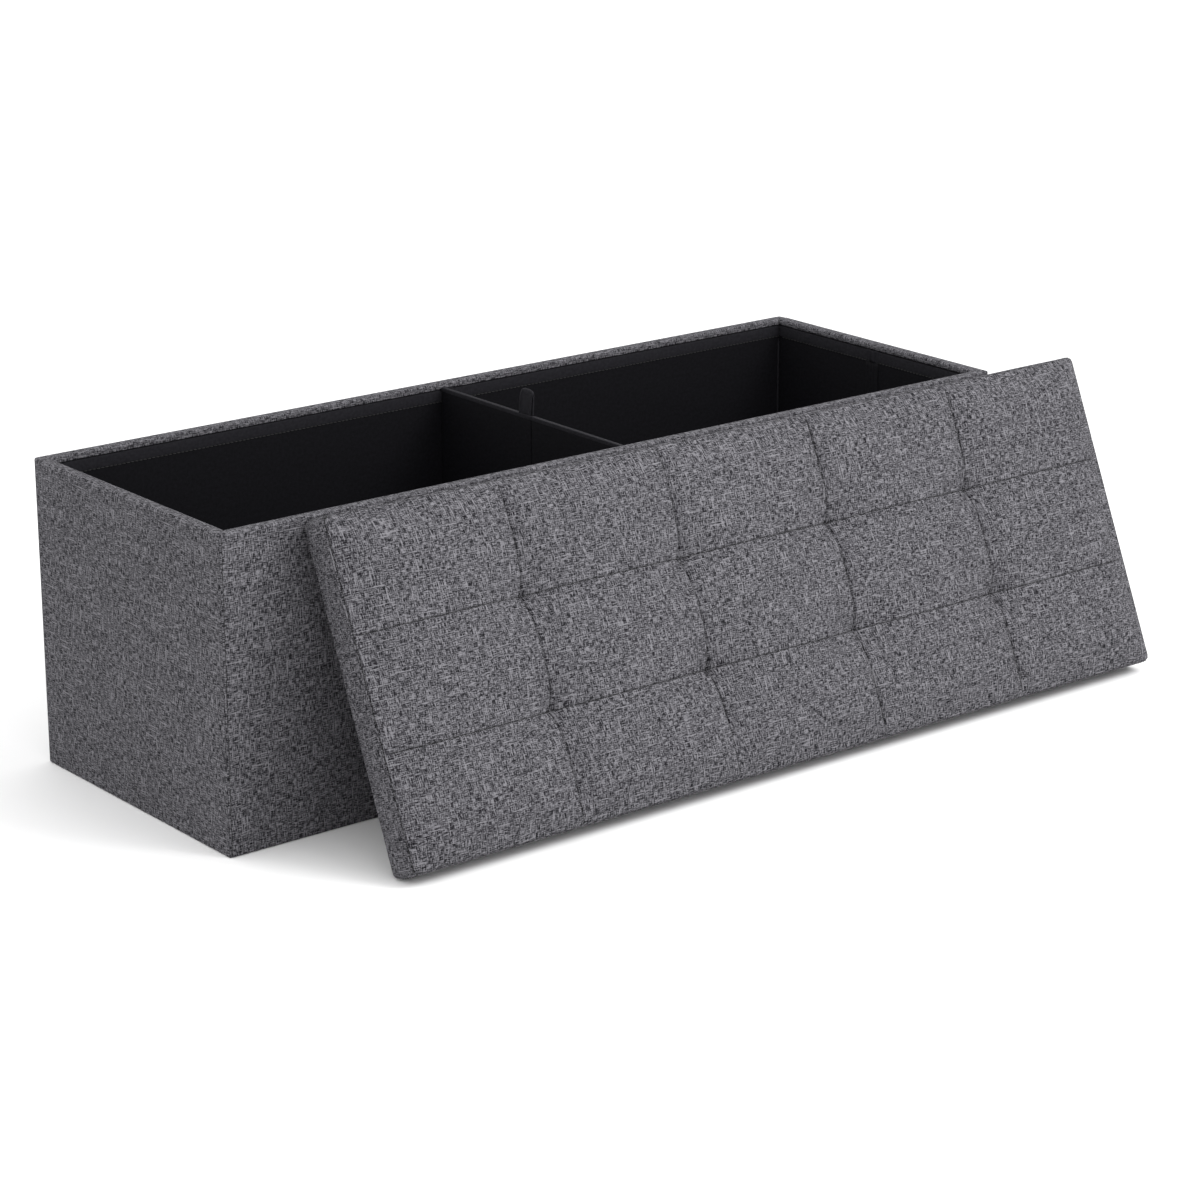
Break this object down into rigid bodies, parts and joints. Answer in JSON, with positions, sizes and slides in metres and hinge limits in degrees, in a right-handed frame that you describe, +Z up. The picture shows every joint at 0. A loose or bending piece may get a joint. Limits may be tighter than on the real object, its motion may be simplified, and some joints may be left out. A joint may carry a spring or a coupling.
{
  "type": "storage ottoman",
  "caption": "Long folding upholstered storage box with split end panels, an inner divider, loose floor boards and a loose tufted padded lid leaning on its front",
  "frame": {"origin": "middle of the box's footprint, on the floor, at the underside of the bottom sheet", "axes": "+X along the box to its right end, -Y is the front against which the lid leans, +Z up"},
  "size_m": [1.2, 0.5771, 0.38],
  "materials": {
    "fibreboard": "raw medium-density fibreboard",
    "grey_linen": "melange linen-look polyester, plain weave with slubs",
    "black_nonwoven": "spun-bonded non-woven polypropylene",
    "black_tape": "folded binding tape",
    "foam": "open-cell polyurethane foam",
    "thread": "bonded upholstery thread",
    "staple_wire": "galvanised staple wire"
  },
  "bodies": {
    "front_wall": {"front_wall_board": "fibreboard", "front_wall_linen": "grey_linen", "front_wall_lining": "black_nonwoven", "front_wall_binding": "black_tape", "bottom_sheet": "black_nonwoven"},
    "back_wall": {"back_wall_board": "fibreboard", "back_wall_linen": "grey_linen", "back_wall_lining": "black_nonwoven", "back_wall_binding": "black_tape"},
    "left_end_front": {"left_end_front_board": "fibreboard", "left_end_front_linen": "grey_linen", "left_end_front_lining": "black_nonwoven", "left_end_front_binding": "black_tape"},
    "left_end_back": {"left_end_back_board": "fibreboard", "left_end_back_linen": "grey_linen", "left_end_back_lining": "black_nonwoven", "left_end_back_binding": "black_tape"},
    "right_end_front": {"right_end_front_board": "fibreboard", "right_end_front_linen": "grey_linen", "right_end_front_lining": "black_nonwoven", "right_end_front_binding": "black_tape"},
    "right_end_back": {"right_end_back_board": "fibreboard", "right_end_back_linen": "grey_linen", "right_end_back_lining": "black_nonwoven", "right_end_back_binding": "black_tape"},
    "divider_front": {"divider_front_board": "fibreboard", "divider_front_sleeve": "black_nonwoven"},
    "divider_back": {"divider_back_board": "fibreboard", "divider_back_sleeve": "black_nonwoven", "divider_pull_loop": "black_tape"},
    "left_floor": {"left_floor_board": "fibreboard", "left_floor_cover": "black_nonwoven"},
    "right_floor": {"right_floor_board": "fibreboard", "right_floor_cover": "black_nonwoven"},
    "lid": {"lid_board": "fibreboard", "lid_foam": "foam", "lid_linen": "grey_linen", "lid_dust_cover": "black_nonwoven", "lid_tuft_threads": "thread", "lid_staples": "staple_wire"}
  },
  "joints": [
    {"name": "fold", "type": "hinge", "parent": "front_wall", "child": "left_end_front", "pos_m": [-0.53575, -0.17575, 0], "axis": [0, 0, -1], "range_deg": [0, 90], "deforming": ["bottom_sheet"]},
    {"name": "left_mid_fold", "type": "hinge", "parent": "left_end_front", "child": "left_end_back", "pos_m": [-0.55025, 0, 0], "axis": [0, 0, 1], "range_deg": [0, 180]},
    {"name": "back_wall_fold", "type": "hinge", "parent": "left_end_back", "child": "back_wall", "pos_m": [-0.53575, 0.17575, 0], "axis": [0, 0, -1], "range_deg": [0, 90]},
    {"name": "right_end_fold", "type": "hinge", "parent": "front_wall", "child": "right_end_front", "pos_m": [0.53575, -0.17575, 0], "axis": [0, 0, 1], "range_deg": [0, 90]},
    {"name": "right_mid_fold", "type": "hinge", "parent": "right_end_front", "child": "right_end_back", "pos_m": [0.55025, 0, 0], "axis": [0, 0, -1], "range_deg": [0, 180]},
    {"name": "divider_fold", "type": "hinge", "parent": "front_wall", "child": "divider_front", "pos_m": [0.01175, -0.17575, 0], "axis": [0, 0, -1], "range_deg": [0, 90]},
    {"name": "divider_mid_fold", "type": "hinge", "parent": "divider_front", "child": "divider_back", "pos_m": [-0.00275, 0, 0], "axis": [0, 0, 1], "range_deg": [0, 180]},
    {"name": "left_floor_out", "type": "slide", "parent": "front_wall", "child": "left_floor", "axis": [0, 0, -1], "range_m": [0, 0.2671]},
    {"name": "right_floor_out", "type": "slide", "parent": "front_wall", "child": "right_floor", "axis": [0, 0, -1], "range_m": [0, 0.2671]},
    {"name": "lid_swing", "type": "hinge", "parent": "front_wall", "child": "lid", "pos_m": [0.1, 0.23968, 0.21672], "axis": [-1, 0, 0], "range_deg": [0, 66.7]}
  ],
  "couplings": [
    {"joint": "left_mid_fold", "follows": "fold", "ratio": 2},
    {"joint": "back_wall_fold", "follows": "fold", "ratio": 1},
    {"joint": "right_end_fold", "follows": "fold", "ratio": 1},
    {"joint": "right_mid_fold", "follows": "fold", "ratio": 2},
    {"joint": "divider_fold", "follows": "fold", "ratio": 1},
    {"joint": "divider_mid_fold", "follows": "fold", "ratio": 2},
    {"joint": "left_floor_out", "follows": "fold", "m_per_rad": 0.17},
    {"joint": "right_floor_out", "follows": "fold", "m_per_rad": 0.17}
  ]
}
